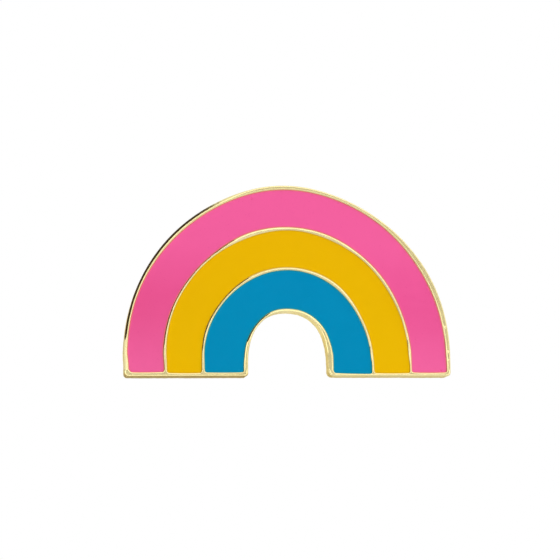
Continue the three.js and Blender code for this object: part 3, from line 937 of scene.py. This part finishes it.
def gold_material(name, base, deep, rough0, rough1, use_wall=False):
    m = Nodes(name)
    cloud = m.noise(300.0, 3.0, 0.6)
    fine = m.noise(2600.0, 3.0, 0.6)
    tone = m.mix(m.map(cloud, 0.35, 0.7, 0.0, 0.45), base, deep)
    m.bsdf.inputs["Metallic"].default_value = 1.0
    m.bsdf.inputs["Specular Tint"].default_value = (1.0, 0.89, 0.56, 1)
    rough = m.map(fine, 0.3, 0.75, rough0, rough1)
    height = m.noise(1800.0, 3.0, 0.55)
    normal = m.bump(height, 0.000006, 0.5)
    if use_wall:
        wall = m.node("ShaderNodeAttribute", _attribute_name="wall").outputs["Fac"]
        grain = m.noise(7000.0, 3.0, 0.65)
        speck = m.map(grain, 0.42, 0.62, 0.0, 1.0)
        tone = m.mix(m.math("MULTIPLY", wall, m.map(speck, 0, 1, 0.45, 1.0)), tone, (0.74, 0.57, 0.17, 1))
        tone = m.mix(m.math("MULTIPLY", wall, m.map(m.noise(5200.0, 2.0, 0.5), 0.56, 0.66, 0.0, 0.6)), tone, (0.50, 0.35, 0.12, 1))
        # painted shade: the wall under the left leg is darker than the rest
        where = m.node("ShaderNodeSeparateXYZ")
        m.link(m.co, where.inputs[0])
        painted_shade_under = m.math("MULTIPLY", m.map(where.outputs["Z"], -0.0122, -0.0116, 1.0, 0.0), m.map(where.outputs["X"], -0.003, 0.004, 1.0, 0.25))
        tone = m.mix(m.math("MULTIPLY", m.math("MULTIPLY", wall, painted_shade_under), 0.92), tone, (0.36, 0.235, 0.065, 1))
        rough = m.math("ADD", rough, m.math("MULTIPLY", wall, m.map(grain, 0.3, 0.7, 0.10, 0.30)))
        normal = m.bump(m.math("MULTIPLY", wall, grain), 0.00003, 0.8, normal)
    m.link(tone, m.bsdf.inputs["Base Color"])
    m.link(rough, m.bsdf.inputs["Roughness"])
    m.link(normal, m.bsdf.inputs["Normal"])
    return m.mat


def put(ob, mat):
    ob.data.materials.clear()
    ob.data.materials.append(mat)


GOLD = gold_material("plated_gold", (0.88, 0.775, 0.41, 1), (0.80, 0.665, 0.29, 1), 0.10, 0.20, use_wall=True)
put(body, GOLD)
put(fills["pink"], enamel_material("pink_enamel", srgb(233, 83, 147), srgb(238, 91, 155), srgb(228, 76, 141), srgb(220, 66, 136),
                                   srgb(226, 77, 135), srgb(243, 97, 160), srgb(241, 101, 161), srgb(224, 120, 92)))
put(fills["yellow"], enamel_material("yellow_enamel", srgb(232, 181, 0), srgb(235, 184, 0), srgb(229, 178, 0), srgb(238, 196, 24),
                                     srgb(229, 178, 0), srgb(233, 180, 0), srgb(234, 183, 0), srgb(210, 162, 10)))
BRASS = gold_material("clutch_brass", (0.86, 0.68, 0.33, 1), (0.72, 0.50, 0.20, 1), 0.18, 0.32)
for ob in posts:
    put(ob, GOLD)
for ob in cups + strips + wings:
    put(ob, BRASS)


def solder_material():
    m = Nodes("solder")
    cloud = m.noise(1500.0, 4.0, 0.6)
    m.link(m.mix(m.map(cloud, 0.35, 0.65, 0.0, 1.0), (0.62, 0.55, 0.42, 1), (0.78, 0.68, 0.47, 1)), m.bsdf.inputs["Base Color"])
    m.bsdf.inputs["Metallic"].default_value = 1.0
    m.link(m.map(cloud, 0.3, 0.7, 0.32, 0.50), m.bsdf.inputs["Roughness"])
    m.link(m.bump(m.noise(3500.0, 3.0, 0.6), 0.00002, 0.8), m.bsdf.inputs["Normal"])
    return m.mat


SOLDER = solder_material()
for ob in solders:
    put(ob, SOLDER)
put(fills["blue"], enamel_material("blue_enamel", srgb(0, 137, 183), srgb(0, 141, 188), srgb(0, 133, 179), srgb(10, 152, 192),
                                   srgb(0, 139, 182), srgb(0, 138, 187), srgb(0, 138, 184), srgb(22, 142, 140)))

# --------------------------------------------------------------------- studio
world = bpy.data.worlds.new("studio")
bpy.context.scene.world = world
world.use_nodes = True
world.node_tree.nodes["Background"].inputs[0].default_value = (1, 1, 1, 1)
world.node_tree.nodes["Background"].inputs[1].default_value = 1.0
bpy.context.scene.view_settings.view_transform = "Standard"


def card(name, centre, normal, w, h, colour):
    """A flat card of the studio, w by h millimetres."""
    me = bpy.data.meshes.new(name)
    me.from_pydata([(-w / 2, -h / 2, 0), (w / 2, -h / 2, 0), (w / 2, h / 2, 0), (-w / 2, h / 2, 0)], [], [(0, 1, 2, 3)])
    me.transform(Matrix.Scale(MM, 4))
    ob = bpy.data.objects.new(name, me)
    bpy.context.scene.collection.objects.link(ob)
    q = Vector(normal).normalized().to_track_quat("Z", "Y")
    ob.matrix_world = Matrix.Translation(Vector(centre) * MM) @ q.to_matrix().to_4x4()
    mat = bpy.data.materials.new(name)
    mat.use_nodes = True
    b = mat.node_tree.nodes["Principled BSDF"]
    b.inputs["Base Color"].default_value = colour
    b.inputs["Roughness"].default_value = 1.0
    b.inputs["Specular IOR Level"].default_value = 0.0
    me.materials.append(mat)
    return ob


floor = card("floor", (0, 0, -75), (0, 0, 1), 2400, 2400, (0.93, 0.93, 0.93, 1))
mirror = (ahead - 2 * ahead.dot(Vector((0, 1, 0))) * Vector((0, 1, 0))).normalized()
# a broad soft box round the lens, with a grey flag in its middle
box = card("soft_box", Vector(CAM_TARGET) + mirror * 640, -mirror, 840, 840, (0.8, 0.8, 0.8, 1))
box_bsdf = box.data.materials[0].node_tree.nodes["Principled BSDF"]
box_bsdf.inputs["Base Color"].default_value = (0, 0, 0, 1)
box_bsdf.inputs["Emission Color"].default_value = (1, 1, 1, 1)
box_bsdf.inputs["Emission Strength"].default_value = 2.14
box.visible_camera = False
flag = card("camera_flag", Vector(CAM_TARGET) + mirror * 600, -mirror, 460, 220, (0.74, 0.72, 0.68, 1))
flag.visible_camera = False
side = Vector((-0.755, 0.0, 0.656)).normalized()
dark = card("dark_card", Vector(CAM_TARGET) + side * 220 + Vector((-26, 30, -30)), -side, 480, 336, (0.070, 0.050, 0.036, 1))
dark.visible_camera = False
